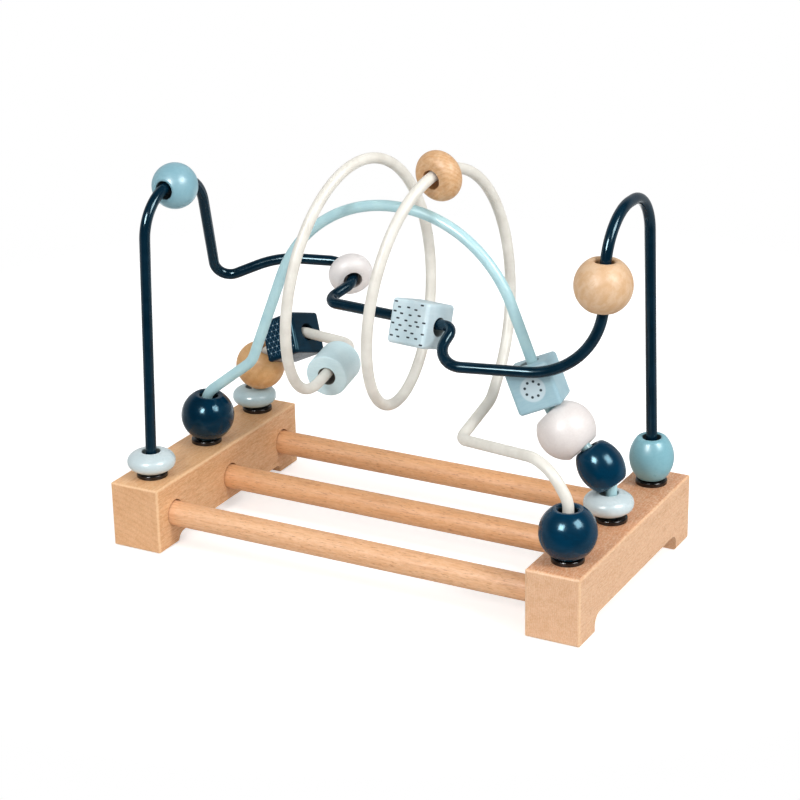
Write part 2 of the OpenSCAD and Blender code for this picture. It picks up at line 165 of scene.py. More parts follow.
def hangLamp(lamp, onlyGloss):
    data = bpy.data.lights.new(lamp["name"], "AREA")
    data.shape, data.size, data.energy = "SQUARE", lamp["size"], lamp["power"]
    way = Vector(lamp["from"]).normalized()
    obj = bpy.data.objects.new(lamp["name"], data)
    scene.collection.objects.link(obj)
    turn = way.to_track_quat("Z", "Y").to_matrix().to_4x4()
    obj.matrix_world = Matrix.Translation(way * lamp["away"] + Vector(studio["target"])) @ turn
    obj.visible_glossy, obj.visible_diffuse = onlyGloss, not onlyGloss


# floor: a round sheet that fades out into the white room
paper = {"name": "sweepPaper", "colour": "e6e6e6", "rough": 0.9, "shine": 0.1, "lift": 0.5, "gloss": 0.3,
         "at": (-0.09, 0.17, -0.0002), "radius": 0.46, "rimFade": (0.3, 0.455), "frontWay": (0.48, -0.88, 0),
         "frontFade": (-0.3, -0.1)}


def paperFinish(look):
    material, tree, shader = newFinish(look["name"])
    path = put(tree, "ShaderNodeLightPath").outputs
    seen = calc(tree, "MAXIMUM", path["Is Camera Ray"],
                calc(tree, "MAXIMUM", path["Is Glossy Ray"], path["Is Transmission Ray"]))
    tree.links.new(calc(tree, "MULTIPLY", seen, look["lift"]), shader.inputs["Emission Strength"])
    shader.inputs["Emission Color"].default_value = (1, 1, 1, 1)
    shader.inputs["Base Color"].default_value = paint(look["colour"])
    shader.inputs["Roughness"].default_value = look["rough"]
    shader.inputs["Specular IOR Level"].default_value = look["shine"]
    spot = put(tree, "ShaderNodeTexCoord").outputs["Object"]
    front = fade(tree, vectorCalc(tree, "DOT_PRODUCT", spot, look["frontWay"]), *look["frontFade"])
    dark = calc(tree, "MULTIPLY", front, path["Is Glossy Ray"])  # where gloss mirrors the room
    room = put(tree, "ShaderNodeEmission", {0: (1, 1, 1, 1), 1: look["gloss"]}).outputs[0]
    sheet = put(tree, "ShaderNodeMixShader", {0: dark, 1: shader.outputs[0], 2: room}).outputs[0]
    clear = fade(tree, vectorCalc(tree, "DISTANCE", spot, look["at"]), *look["rimFade"])
    sheer = put(tree, "ShaderNodeBsdfTransparent").outputs[0]
    both = put(tree, "ShaderNodeMixShader", {0: clear, 1: sheet, 2: sheer})
    tree.links.new(both.outputs[0], tree.nodes["Material Output"].inputs[0])
    return material


def layFloor(look):
    shape = bmesh.new()
    bmesh.ops.create_circle(shape, cap_ends=True, segments=96, radius=look["radius"])
    mesh = bpy.data.meshes.new("floor")
    shape.to_mesh(mesh)
    shape.free()
    mesh.transform(Matrix.Translation(look["at"]))
    mesh.materials.append(paperFinish(look))
    floor = bpy.data.objects.new("floor", mesh)
    scene.collection.objects.link(floor)


lightRoom(studio)
for lamp in (frontLamp, rightLamp):
    hangLamp(lamp, False)
for panel in (frontPanel, rightPanel):
    hangLamp(panel, True)
layFloor(paper)
print("studio: camera, floor, two lamps and two panels")


# a bead's own frame is in mm, with the bore along Z
def fromBore(tree, own):
    return vectorCalc(tree, "LENGTH", stretched(tree, own, (1, 1, 0)))


# wood: faint growth rings about a far pith, streaks along the grain, short dark flecks, a fine mottle
# painted light and shade on block tops, painted highlights on block edges, painted shade in bead bores
def woodFinish(look, where="Object"):
    material, tree, shader = newFinish(look["name"])
    if where == "Object":
        spot = put(tree, "ShaderNodeTexCoord").outputs["Object"]
    else:  # a bead's own frame, in metres
        own = put(tree, "ShaderNodeAttribute", attribute_name=where).outputs["Vector"]
        spot = stretched(tree, own, (mm, mm, mm))
    laid = stretched(tree, spot, (1, 1, 1), look["turn"], look["pith"])  # the grain now runs along X
    grain = stretched(tree, laid, (look["length"], 1, 1))
    ringSockets = {"Vector": grain, "Scale": 0.314 / look["ring"], "Distortion": look["waver"],
                   "Detail": 3.0, "Detail Scale": 0.35, "Detail Roughness": 0.5}
    rings = put(tree, "ShaderNodeTexWave", ringSockets, wave_type="RINGS", rings_direction="X")
    streak = speckle(tree, grain, look["streak"], 5.0, 0.6)
    fine = speckle(tree, grain, 0.0009, 3.0, 0.65)
    mottle = speckle(tree, stretched(tree, laid, (look["mottleLength"], 1, 1)), look["mottle"], 3.0, 0.65)
    fleckAt = stretched(tree, laid, (look["fleckLength"], 1, 1), move=(0.4, 0.2, 0.1))
    fleck = fade(tree, speckle(tree, fleckAt, look["fleck"], 2.0), 0.58, 0.7)
    tone = calc(tree, "ADD", calc(tree, "MULTIPLY", rings.outputs["Fac"], look["ringShare"]),
                calc(tree, "MULTIPLY", fade(tree, streak, 0.3, 0.7), 1 - look["ringShare"]))
    colour = blendColours(tree, tone, paint(look["light"]), paint(look["dark"]))
    quiet = 1.0
    if "box" in look:  # end faces of a block: less speckle, faint growth lines
        centre, reach = look["box"]
        away = vectorCalc(tree, "ABSOLUTE", vectorCalc(tree, "SUBTRACT", spot, centre))
        gap = apart(tree, vectorCalc(tree, "SUBTRACT", reach, away))  # depth below each face
        quiet = fade(tree, gap[1], *look["skin"], look["endQuiet"], 1.0)
        growth = calc(tree, "MULTIPLY", fade(tree, rings.outputs["Fac"], 0.75, 1.0),
                      fade(tree, gap[1], *look["skin"], look["endLine"], 0.0))
        colour = blendColours(tree, growth, colour, paint(look["line"]))
        # painted light and shade on the top face of a block
        upper = calc(tree, "MULTIPLY", fade(tree, gap[2], *look["skin"], 1.0, 0.0),
                     calc(tree, "GREATER_THAN", apart(tree, spot)[2], centre.z))
        colour = blendColours(tree, upper, colour, look["top"], "MULTIPLY")  # painted light and shade: the top face made lighter on the left block and darker on the right one
    pale = calc(tree, "MULTIPLY", fade(tree, mottle, 0.38, 0.66, 0, look["mottleShare"]), quiet)
    colour = blendColours(tree, pale, colour, paint(look["pale"]))
    thin = calc(tree, "MULTIPLY", fade(tree, fine, 0.45, 0.75, 0, look["fineShare"]), quiet)
    colour = blendColours(tree, thin, colour, paint(look["line"]))
    flecked = calc(tree, "MULTIPLY", calc(tree, "MULTIPLY", fleck, look["fleckShare"]), quiet)
    colour = blendColours(tree, flecked, colour, paint(look["line"]))
    if "box" in look:  # painted highlight: the edges of a block a little paler, as light catches their round-over
        pairs = [calc(tree, "MAXIMUM", gap[i], gap[j]) for i, j in ((0, 1), (1, 2), (0, 2))]
        near = calc(tree, "MINIMUM", pairs[0], calc(tree, "MINIMUM", pairs[1], pairs[2]))
        rubbedAndSheen = fade(tree, near, *look["edgeSheenWidth"], look["edgeSheenShare"], 0)
        colour = blendColours(tree, rubbedAndSheen, colour, paint(look["edge"]))
    if "boreEdge" in look:  # painted shade: the inside of a bead's bore darkened with the line colour
        inside = fade(tree, fromBore(tree, own), *look["boreEdge"], look["boreShare"], 0)
        colour = blendColours(tree, inside, colour, paint(look["line"]))
    tree.links.new(colour, shader.inputs["Base Color"])
    gloss = fade(tree, fine, 0.3, 0.7, look["rough"] - 0.05, look["rough"] + 0.06)
    tree.links.new(gloss, shader.inputs["Roughness"])
    height = calc(tree, "SUBTRACT", calc(tree, "MULTIPLY", mottle, 0.3), calc(tree, "ADD", fine, fleck))
    tree.links.new(raised(tree, height, look["relief"], 0.0003), shader.inputs["Normal"])
    shader.inputs["Coat Weight"].default_value = look["lacquer"]
    shader.inputs["Coat Roughness"].default_value = look["lacquerRough"]
    return material


def dress(node, material):  # a CAD node keeps its shape and takes a finish
    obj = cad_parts[node]
    obj.data.materials.clear()
    obj.data.materials.append(material)


def middle(node):
    low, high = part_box(node)
    return (low + high) / 2, (high - low) / 2


# edge colour: a painted highlight along a block's edges
beech = {"light": "e6b181", "dark": "d9a06e", "line": "b37649", "pale": "f3cea1", "edge": "f2d0a5",
         "length": 0.1, "ring": 0.0034, "waver": 4.0, "ringShare": 0.25, "streak": 0.005, "mottle": 0.0008,
         "mottleLength": 0.4, "mottleShare": 0.55, "fleck": 0.0006, "fleckLength": 0.24, "fleckShare": 0.34,
         "fineShare": 0.36, "edgeSheenShare": 0.45, "edgeSheenWidth": (0.0003, 0.0016), "skin": (0.0002, 0.001),
         "endQuiet": 0.6, "endLine": 0.1, "turn": (0, 0, math.pi / 2), "rough": 0.5, "relief": 0.1,
         "lacquer": 0.08, "lacquerRough": 0.3}
# top: a colour factor on the top face, painted light on the left block and painted shade on the right block
leftBlock = dict(beech, name="leftBeech", node="left_block", top=(1.1, 1.13, 1.13, 1),
                 pith=(0.05, 0.164, 0.084))
rightBlock = dict(beech, name="rightBeech", node="right_block", top=(0.93, 0.71, 0.6, 1), light="e9b992",
                  dark="dca87d", line="b57c53", pale="f6d8b6", pith=(-0.11, -0.237, -0.019), ring=0.0012)
for look in (leftBlock, rightBlock):
    look["box"] = middle(look["node"])
    dress(look["node"], woodFinish(look))

dowelWood = {"light": "e8af7c", "dark": "dea16c", "line": "ad6d40", "pale": "f2c396", "length": 0.06,
             "ring": 0.003, "waver": 5.0, "ringShare": 0.25, "streak": 0.004, "mottle": 0.0011,
             "mottleLength": 0.3, "mottleShare": 0.35, "fleck": 0.0006, "fleckLength": 0.16,
             "fleckShare": 0.6, "fineShare": 0.36, "turn": (0, 0, 0), "rough": 0.5, "relief": 0.1,
             "lacquer": 0.03, "lacquerRough": 0.3}
frontDowel = dict(dowelWood, name="frontDowelWood", node="front_dowel", pith=(0.13, 0.083, -0.046),
                  light="eab688", dark="e0a777", pale="f4cba4")  # paler wood than the other two
middleDowel = dict(dowelWood, name="middleDowelWood", node="middle_dowel", pith=(0.31, 0.033, 0.012))
backDowel = dict(dowelWood, name="backDowelWood", node="back_dowel", pith=(0.57, -0.02, -0.05))
for look in (frontDowel, middleDowel, backDowel):
    dress(look["node"], woodFinish(look))
print("base: two blocks and three dowels in wood")


# collars: black moulded plastic with fine rubbing marks
collarLook = {"name": "collarPlastic", "colour": "0c0807", "worn": "1c1310", "rough": 0.14}


def collarFinish(look):
    material, tree, shader = newFinish(look["name"])
    spot = put(tree, "ShaderNodeTexCoord").outputs["Object"]
    cloud = speckle(tree, spot, 0.004, 4.0)
    marks = speckle(tree, stretched(tree, spot, (1, 1, 0.2)), 0.0005, 2.0)
    tone = blendColours(tree, fade(tree, cloud, 0.4, 0.75), paint(look["colour"]), paint(look["worn"]))
    tree.links.new(tone, shader.inputs["Base Color"])
    gloss = fade(tree, marks, 0.3, 0.75, look["rough"] - 0.04, look["rough"] + 0.12)
    tree.links.new(gloss, shader.inputs["Roughness"])
    tree.links.new(raised(tree, marks, 0.04, 0.0002), shader.inputs["Normal"])
    return material


collarPlastic = collarFinish(collarLook)
for side in ("left", "right"):
    for place in ("front", "middle", "back"):
        dress(side + "_" + place + "_collar", collarPlastic)
print("collars: six in black plastic")


# wires: a route of corners with bends, swept by Geometry Nodes
base = {"length": 285, "blockWidth": 31, "blockHeight": 38, "rowPitch": 56, "socket": 25}
postX = (base["length"] - base["blockWidth"]) / 2
socketZ = base["blockHeight"] - base["socket"]
blockTop = base["blockHeight"]
row = base["rowPitch"]
coil = {"pitch": 49, "width": 102, "height": 129, "z": 151.5, "x": -0.37 * postX, "dip": 14.5, "skew": 7.5,
        "from": 57, "to": 690, "step": 3}


def onCoil(degrees):
    a = math.radians(degrees)
    return Vector((coil["x"] + coil["pitch"] * degrees / 360 - coil["skew"] / 2 * math.sin(a),
                   -coil["width"] / 2 * math.sin(a),
                   coil["z"] - coil["height"] / 2 * math.cos(a) - coil["dip"] / 2 * math.sin(a)))


def pastCoil(degrees, length):
    return onCoil(degrees) + length * (onCoil(degrees + 0.5) - onCoil(degrees - 0.5)).normalized()


def widestBend(a, b, c):  # radius of the widest bend at b that fits before c
    return 0.97 * (c - b).length / math.tan((b - a).angle(c - b) / 2)


def bendRoute(corners, fine=3.0):
    spots = [Vector(corner[0]) for corner in corners]
    line = [spots[0]]
    for i in range(1, len(spots) - 1):
        u, w = (spots[i] - spots[i - 1]).normalized(), (spots[i + 1] - spots[i]).normalized()
        turn, radius = u.angle(w), corners[i][1]
        inward = (w - w.dot(u) * u).normalized()
        start = spots[i] - radius * math.tan(turn / 2) * u
        steps = max(3, math.ceil(math.degrees(turn) / fine))
        for k in range(steps + 1):
            a = turn * k / steps
            line.append(start + radius * (math.sin(a) * u + (1 - math.cos(a)) * inward))
    return line + [spots[-1]]


def wireTree():
    tree = bpy.data.node_groups.new("bentWire", "GeometryNodeTree")
    sockets = {}
    for name, kind in (("Line", "Geometry"), ("Thickness", "Float"), ("Sides", "Int"), ("Coat", "Material")):
        made = tree.interface.new_socket(name, in_out="INPUT", socket_type="NodeSocket" + kind)
        sockets[name] = made.identifier
    tree.interface.new_socket("Wire", in_out="OUTPUT", socket_type="NodeSocketGeometry")
    given = tree.nodes.new("NodeGroupInput").outputs
    curve = put(tree, "GeometryNodeMeshToCurve", {"Mesh": given["Line"]})
    length = put(tree, "GeometryNodeSplineParameter").outputs["Length"]
    marks = {"Geometry": curve.outputs[0], "Name": "along", "Value": length}
    marked = put(tree, "GeometryNodeStoreNamedAttribute", marks, data_type="FLOAT", domain="POINT")
    size = {"Resolution": given["Sides"], "Radius": calc(tree, "MULTIPLY", given["Thickness"], 0.5)}
    ring = put(tree, "GeometryNodeCurvePrimitiveCircle", size, mode="RADIUS")
    tube = put(tree, "GeometryNodeCurveToMesh",
               {"Curve": marked.outputs[0], "Profile Curve": ring.outputs[0], "Fill Caps": True})
    smooth = put(tree, "GeometryNodeSetShadeSmooth", {"Geometry": tube.outputs[0]})
    whole = put(tree, "GeometryNodeRealizeInstances", {"Geometry": smooth.outputs[0]})
    coated = put(tree, "GeometryNodeSetMaterial", {"Geometry": whole.outputs[0], "Material": given["Coat"]})
    put(tree, "NodeGroupOutput", {0: coated.outputs[0]})
    return tree, sockets


# wire coat: dipped colour with a faint mottle, tiny dimples and faint rubbed patches
def coatFinish(look):
    material, tree, shader = newFinish(look["name"])
    spot = put(tree, "ShaderNodeTexCoord").outputs["Object"]
    along = put(tree, "ShaderNodeAttribute", attribute_name="along").outputs["Fac"]
    bands = speckle(tree, put(tree, "ShaderNodeCombineXYZ", {0: along}).outputs[0], 0.011, 4.0)
    cloud = speckle(tree, spot, 0.007, 4.0)
    dimple = speckle(tree, spot, 0.0007, 2.0)
    tone = calc(tree, "MULTIPLY", calc(tree, "ADD", bands, cloud), 0.5)
    colour = blendColours(tree, fade(tree, tone, 0.36, 0.64), paint(look["colour"]), paint(look["shade"]))
    colour = blendColours(tree, fade(tree, dimple, 0.56, 0.8, 0, 0.35), colour, paint(look["rubbedAndSheen"]))
    tree.links.new(colour, shader.inputs["Base Color"])
    tree.links.new(fade(tree, tone, 0.3, 0.7, look["rough"], look["rough"] + 0.1), shader.inputs["Roughness"])
    tree.links.new(raised(tree, dimple, look["relief"], 0.0002), shader.inputs["Normal"])
    shader.inputs["Specular Tint"].default_value = paint(look["tint"])
    shader.inputs["Coat Weight"].default_value = look["lacquer"]
    shader.inputs["Coat Roughness"].default_value = look["lacquerRough"]
    return material


def outward(mesh):
    shape = bmesh.new()
    shape.from_mesh(mesh)
    bmesh.ops.recalc_face_normals(shape, faces=shape.faces)
    shape.to_mesh(mesh)
    shape.free()


bentWire, wireSockets = wireTree()


def bendWire(wire, line):
    mesh = bpy.data.meshes.new(wire["node"])
    mesh.from_pydata([p * mm for p in line], [(i, i + 1) for i in range(len(line) - 1)], [])
    obj = bpy.data.objects.new(wire["node"].replace("_wire", "WireBent"), mesh)
    scene.collection.objects.link(obj)
    sweep = obj.modifiers.new("sweep", "NODES")
    sweep.node_group = bentWire
    sweep[wireSockets["Thickness"]] = wire["thickness"] * mm
    sweep[wireSockets["Sides"]] = wire["sides"]
    sweep[wireSockets["Coat"]] = coatFinish(wire["coat"])
    solid = bpy.data.meshes.new_from_object(obj.evaluated_get(bpy.context.evaluated_depsgraph_get()))
    obj.modifiers.remove(sweep)
    obj.data = solid
    outward(solid)
    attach(obj, "base")
    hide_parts(wire["node"])
    print(wire["node"], "bent:", len(line), "points,", len(solid.polygons), "faces")


anyWire = {"thickness": 6, "sides": 28}
dippedCoat = {"relief": 0.05, "lacquerRough": 0.06, "tint": "ffffff"}
navyWire = dict(anyWire, node="navy_wire", slot="navy_coat",
                coat=dict(dippedCoat, name="navyCoat", colour="021c2b", shade="052435", rubbedAndSheen="0c364b",
                          rough=0.1, relief=0.015, lacquer=0.0, tint="d2f5ff"))
bendWire(navyWire, bendRoute([
    ((-postX, -row, socketZ), 0), ((-postX, -row, blockTop + 14), 60),
    ((-postX + 3, -0.94 * row, 199), 0.455 * row), ((-postX + 4, 0, 199), 0.446 * row),
    ((-postX - 1, 0.366 * row, 129.5), 9), ((-0.74 * postX, 0.589 * row, 144.5), 62),
    ((-0.496 * postX, 0.714 * row, 144.5), 12), ((-0.312 * postX, 0.79 * row, 140.5), 12.5),
    ((-0.406 * postX, 0.207 * row, 130.6), 7), ((0.281 * postX, -0.039 * row, 132.7), 5.5),
    ((0.254 * postX, -0.42 * row, 118), 13), ((postX - 2.5, -0.195 * row, 121.5), 42.5),
    ((postX, -0.22 * row, 208), 0.51 * row), ((postX, 0.777 * row, 208), 0.435 * row),
    ((postX, row, blockTop + 14), 60), ((postX, row, socketZ), 0)]))

skyWire = dict(anyWire, node="sky_wire", slot="sky_coat",
               coat=dict(dippedCoat, name="skyCoat", colour="badfe4", shade="add5dd", rubbedAndSheen="cfeaed",
                         rough=0.3, lacquer=0.1))
bendWire(skyWire, bendRoute([
    ((-postX, 0, socketZ), 0), ((-postX, 0, blockTop + 4), 40), ((-postX + 1, 0, blockTop + 29.3), 14),
    ((-0.7362 * postX, 0, 92.5), 16), ((-0.4134 * postX, 0, 194.5), 76.75),
    ((0.3936 * postX, 0, 194.5), 72.87), ((0.7244 * postX, 0, 92), 30),
    ((postX, 0, blockTop + 27), 20), ((postX, 0, socketZ), 0)]))

creamWire = dict(anyWire, node="cream_wire", slot="cream_coat",
                 coat=dict(dippedCoat, name="creamCoat", colour="e8e5dc", shade="ddd9cf", rubbedAndSheen="efede6",
                           rough=0.42, lacquer=0.05))
hook, loopIn = Vector((-0.437 * postX, 0.866 * row, 92.8)), pastCoil(coil["from"], -28.7)
creamStart = bendRoute([
    ((-postX, row, socketZ), 0), ((-postX, row, blockTop + 32), 24),
    ((-0.753 * postX, 0.982 * row, 93), 20), (hook, 11),
    (loopIn, widestBend(hook, loopIn, onCoil(coil["from"]))), (onCoil(coil["from"]), 0)])
creamCoil = [onCoil(a) for a in range(coil["from"] + coil["step"], coil["to"], coil["step"])]
creamEnd = bendRoute([
    (onCoil(coil["to"]), 0), (pastCoil(coil["to"], 16), 22), ((0.382 * postX, -0.384 * row, 78), 8),
    ((postX - 12.5, -0.991 * row, 90.5), 22), ((postX, -row, 70.5), 14), ((postX, -row, socketZ), 0)])
bendWire(creamWire, creamStart + creamCoil + creamEnd)


# beads: rings of points round a bore, closed into one skin
def arc(cx, cz, radius, start, end, steps):
    turns = [math.radians(start + (end - start) * k / steps) for k in range(steps + 1)]
    return [(cx + radius * math.cos(a), cz + radius * math.sin(a)) for a in turns]


def bothEnds(upper):  # an upper half profile from the bore's middle to the belly, and its mirror
    return upper + [(r, -z) for r, z in reversed(upper[1:-1])]


def boreProfile(bead, steps):  # from the bore's middle over its rounded mouth
    half, mouth, bore = bead["length"] / 2, bead["mouth"], bead["bore"] / 2
    wall = [(bore, 0), (bore, half * 0.5), (bore, half - mouth - 0.1)]
    return wall + arc(bore + mouth, half - mouth, mouth, 180, 90, steps)


def roundProfile(bead):
    half, lip, belly, wide = bead["length"] / 2, bead["lip"], bead["belly"], bead["width"] / 2
    tilt = math.degrees(math.asin((half - lip) / (belly - lip)))
    lipAt = wide - belly + (belly - lip) * math.cos(math.radians(tilt))
    mouthAt = bead["bore"] / 2 + bead["mouth"]
    upper = boreProfile(bead, 7)
    upper += [(mouthAt + (lipAt - mouthAt) * k, half) for k in (0.15, 0.5, 0.85)]
    upper += arc(lipAt, half - lip, lip, 90, tilt, 9)
    upper += arc(wide - belly, 0, belly, tilt, 0, 26)[1:]
    return bothEnds(upper)


def ovalProfile(bead):  # a rim between two flatter shoulders
    half, rim, shoulder, wide = bead["length"] / 2, bead["rim"], bead["shoulder"], bead["width"] / 2
    tilt = math.degrees(math.asin((shoulder - half) / (shoulder - rim)))
    middleAt = wide - rim - (shoulder - rim) * math.cos(math.radians(tilt))
    mouthAt = bead["bore"] / 2 + bead["mouth"]
    start = math.degrees(math.acos((mouthAt + 0.1 - middleAt) / shoulder))
    upper = boreProfile(bead, 7)
    upper += arc(middleAt, half - shoulder, shoulder, start, tilt, 14)
    upper += arc(wide - rim, 0, rim, tilt, 0, 14)[1:]
    return bothEnds(upper)


def rollProfile(bead):
    half, lip, wide = bead["length"] / 2, bead["lip"], bead["width"] / 2
    mouthAt = bead["bore"] / 2 + bead["mouth"]
    upper = boreProfile(bead, 6)
    upper += [(mouthAt + (wide - lip - mouthAt) * k, half) for k in (0.05, 0.5, 0.95)]
    upper += arc(wide - lip, half - lip, lip, 90, 0, 8)
    upper += [(wide, half - lip - 0.15), (wide, half * 0.5), (wide, 0)]
    return bothEnds(upper)


def turnedRings(profile, around=96):
    turns = [2 * math.pi * k / around for k in range(around)]
    return [[Vector((r * math.cos(a), r * math.sin(a), z)) for a in turns] for r, z in profile]


def cubeRings(bead):
    half, edge, mouth, bore = bead["width"] / 2, bead["edge"], bead["mouth"], bead["bore"] / 2

    def square(inset, z):
        spots, corner = [], max(edge - inset, 0.02)
        flat = half - inset - corner
        for q in range(4):
            turn = Matrix.Rotation(math.pi / 2 * q, 3, "Z")
            side = [Vector((flat + corner, -flat + 2 * flat * k / 10, z)) for k in range(10)]
            bend = [Vector((flat + x, flat + y, z)) for x, y in arc(0, 0, corner, 0, 90, 8)[:-1]]
            spots += [turn @ p for p in side + bend]
        return spots

    outline = square(0, 0)
    turns = [math.atan2(p.y, p.x) for p in outline]

    def circle(radius, z):
        return [Vector((radius * math.cos(a), radius * math.sin(a), z)) for a in turns]

    def between(share, z):
        inner, outer = circle(bore + mouth, z), square(edge, z)
        return [a.lerp(b, share) for a, b in zip(inner, outer)]

    upper = [circle(bore, z) for z in (0, half * 0.5, half - mouth - 0.1)]
    upper += [circle(r, z) for r, z in arc(bore + mouth, half - mouth, mouth, 180, 90, 6)]
    upper += [between(share, half) for share in (0.05, 0.35, 0.7, 0.95)]
    upper += [square(edge - r, z) for r, z in arc(0, half - edge, edge, 90, 0, 8)]
    upper += [square(0, half - edge - 0.15), square(0, half * 0.5), square(0, 0)]
    lower = [[Vector((p.x, p.y, -p.z)) for p in ring] for ring in reversed(upper[1:-1])]
    return upper + lower


def beadPlace(bead):
    axis = Vector(bead["axis"]).normalized()
    side = Vector((0, 1, 0)).cross(axis) if abs(axis.z) > 0.9 else axis.cross(Vector((0, 0, 1)))
    side.normalize()
    turn = Matrix((side, axis.cross(side), axis)).transposed()
    turn = turn @ Matrix.Rotation(math.radians(bead.get("roll", 0)), 3, "Z")
    return Matrix.Translation(middle(bead["node"])[0]) @ turn.to_4x4()


def threadBead(bead, rings, material):
    count, place = len(rings[0]), beadPlace(bead)
    points = [p for ring in rings for p in ring]
    faces = []
    for i in range(len(rings)):
        j = (i + 1) % len(rings)
        for k in range(count):
            n = (k + 1) % count
            faces.append((i * count + k, j * count + k, j * count + n, i * count + n))
    words = bead["node"].split("_")
    name = words[0] + "".join(w.capitalize() for w in words[1:]) + "Bead"
    mesh = bpy.data.meshes.new(name)
    mesh.from_pydata([place @ (p * mm) for p in points], [], faces)
    own = mesh.attributes.new("own", "FLOAT_VECTOR", "POINT")  # the bead's own frame, in mm
    own.data.foreach_set("vector", [c for p in points for c in p])
    mesh.polygons.foreach_set("use_smooth", [True] * len(faces))
    mesh.materials.append(material)
    outward(mesh)
    obj = bpy.data.objects.new(name, mesh)
    scene.collection.objects.link(obj)
    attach(obj, bead["node"])
    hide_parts(bead["node"])


def ballBead(bead):  # a sphere with a small flat round its bore
    half = math.sqrt((bead["width"] / 2) ** 2 - (bead["bore"] / 2 + bead["flat"]) ** 2)
    return dict(bead, length=2 * half, belly=bead["width"] / 2,
                lip=0.4 * bead["flat"], mouth=0.6 * bead["flat"])


# paint: gloss enamel over turned wood, a little uneven, with unpainted wood in the bore darkened as painted
# shade
def enamelFinish(look, pattern=None):
    material, tree, shader = newFinish(look["name"])
    own = put(tree, "ShaderNodeAttribute", attribute_name="own").outputs["Vector"]
    spot = put(tree, "ShaderNodeTexCoord").outputs["Object"]
    cloud = speckle(tree, spot, 0.011, 4.0)
    grain = speckle(tree, stretched(tree, own, (0.12, 1, 1), move=(3.1, 0, 0)), 0.9, 3.0)
    peel = speckle(tree, spot, 0.0011, 2.0)
    tone = calc(tree, "ADD", calc(tree, "MULTIPLY", cloud, 0.65), calc(tree, "MULTIPLY", grain, 0.35))
    colour = blendColours(tree, fade(tree, tone, 0.38, 0.62), paint(look["colour"]), paint(look["shade"]))
    if pattern:
        colour = pattern(tree, own, colour)
    # painted shade in the bore: unpainted wood darkened to a grey, blue-grey or near-black colour
    out = calc(tree, "ADD", fromBore(tree, own), calc(tree, "MULTIPLY", grain, 0.5))
    inside = fade(tree, out, *look["boreEdge"], 1, 0)
    colour = blendColours(tree, inside, colour, paint(look["bare"]))
    tree.links.new(colour, shader.inputs["Base Color"])
    gloss = fade(tree, cloud, 0.3, 0.7, look["rough"] - 0.03, look["rough"] + 0.07)
    gloss = calc(tree, "ADD", gloss, calc(tree, "MULTIPLY", inside, 0.3))
    tree.links.new(gloss, shader.inputs["Roughness"])
    height = calc(tree, "ADD", calc(tree, "MULTIPLY", peel, 0.5), grain)
    tree.links.new(raised(tree, height, look["relief"], 0.0002), shader.inputs["Normal"])
    shader.inputs["Specular IOR Level"].default_value = look["gloss"]
    shader.inputs["Specular Tint"].default_value = paint(look["tint"])
    shader.inputs["Coat Weight"].default_value = look["lacquer"]
    shader.inputs["Coat Roughness"].default_value = look["lacquerRough"]
    return material


# the bore colours are unpainted wood darkened as painted shade
enamel = {"rough": 0.22, "relief": 0.04, "lacquer": 0.25, "lacquerRough": 0.07, "gloss": 0.5,
          "tint": "ffffff", "bare": "7f8a8c", "boreEdge": (5.25, 5.75)}
offWhite = dict(enamel, bare="8d817b")
navy = dict(enamel, rough=0.15, lacquer=0.0, tint="bcefff", bare="04121b")
paleEnamel = enamelFinish(dict(enamel, name="paleEnamel", colour="d0dde0", shade="c5d5d9",
                               rough=0.26, lacquer=0.15))
greyBlueEnamel = enamelFinish(dict(enamel, name="greyBlueEnamel", colour="b8cfd5", shade="adc7ce"))
lightBlueEnamel = enamelFinish(dict(enamel, name="lightBlueEnamel", colour="8ab5c2", shade="80adbb",
                                    rough=0.32, lacquer=0.05, bare="3a4a50"))
midBlueEnamel = enamelFinish(dict(enamel, name="midBlueEnamel", colour="82b5c1", shade="78acb9",
                                  rough=0.3, lacquer=0.05, bare="35464c"))
whiteEnamel = enamelFinish(dict(offWhite, name="whiteEnamel", colour="e8e2df", shade="e1dad7",
                                rough=0.45, lacquer=0.06))
# painted light: a brighter copy of the white enamel for the white ring
litRingEnamel = enamelFinish(dict(offWhite, name="litRingEnamel", colour="f3eeec", shade="ece6e4",
                               rough=0.4, lacquer=0.12))
navyEnamel = enamelFinish(dict(navy, name="navyEnamel", colour="01314b", shade="012a41", gloss=0.45))
# painted shade: a darker copy of the navy enamel for the left middle ball
leftNavy = enamelFinish(dict(navy, name="leftNavy", colour="01283e", shade="012235", gloss=0.4))
rollEnamel = enamelFinish(dict(enamel, name="rollEnamel", colour="d7eff4", shade="cde7ed",
                               rough=0.36, lacquer=0.12, bare="6d6a62"))

maple = {"name": "mapleWood", "light": "dab38b", "dark": "d0a576", "line": "b17d4b", "pale": "e4c8a9",
         "length": 0.35, "ring": 0.0042, "waver": 3.0, "ringShare": 0.4, "streak": 0.006, "mottle": 0.0045,
         "mottleLength": 0.7, "mottleShare": 0.5, "fleck": 0.0005, "fleckLength": 0.3, "fleckShare": 0.12,
         "fineShare": 0.1, "turn": (0.4, 0.9, 0.3), "pith": (0.004, 0.019, 0.023), "rough": 0.5,
         "relief": 0.03, "lacquer": 0.06, "lacquerRough": 0.36, "boreEdge": (5.1, 5.6), "boreShare": 0.75}
mapleWood = woodFinish(maple, "own")
ringMaple = dict(maple, name="ringWood", light="dcaf80", dark="cd9a66", line="a66e38", pale="e4c29b",
                 length=0.15, ring=0.0016, ringShare=0.6, streak=0.003, mottle=0.002, fineShare=0.25,
                 fleckShare=0.25, turn=(0.3, 0.1, 0.5), pith=(0.007, 0.021, -0.014))
ringWood = woodFinish(ringMaple, "own")
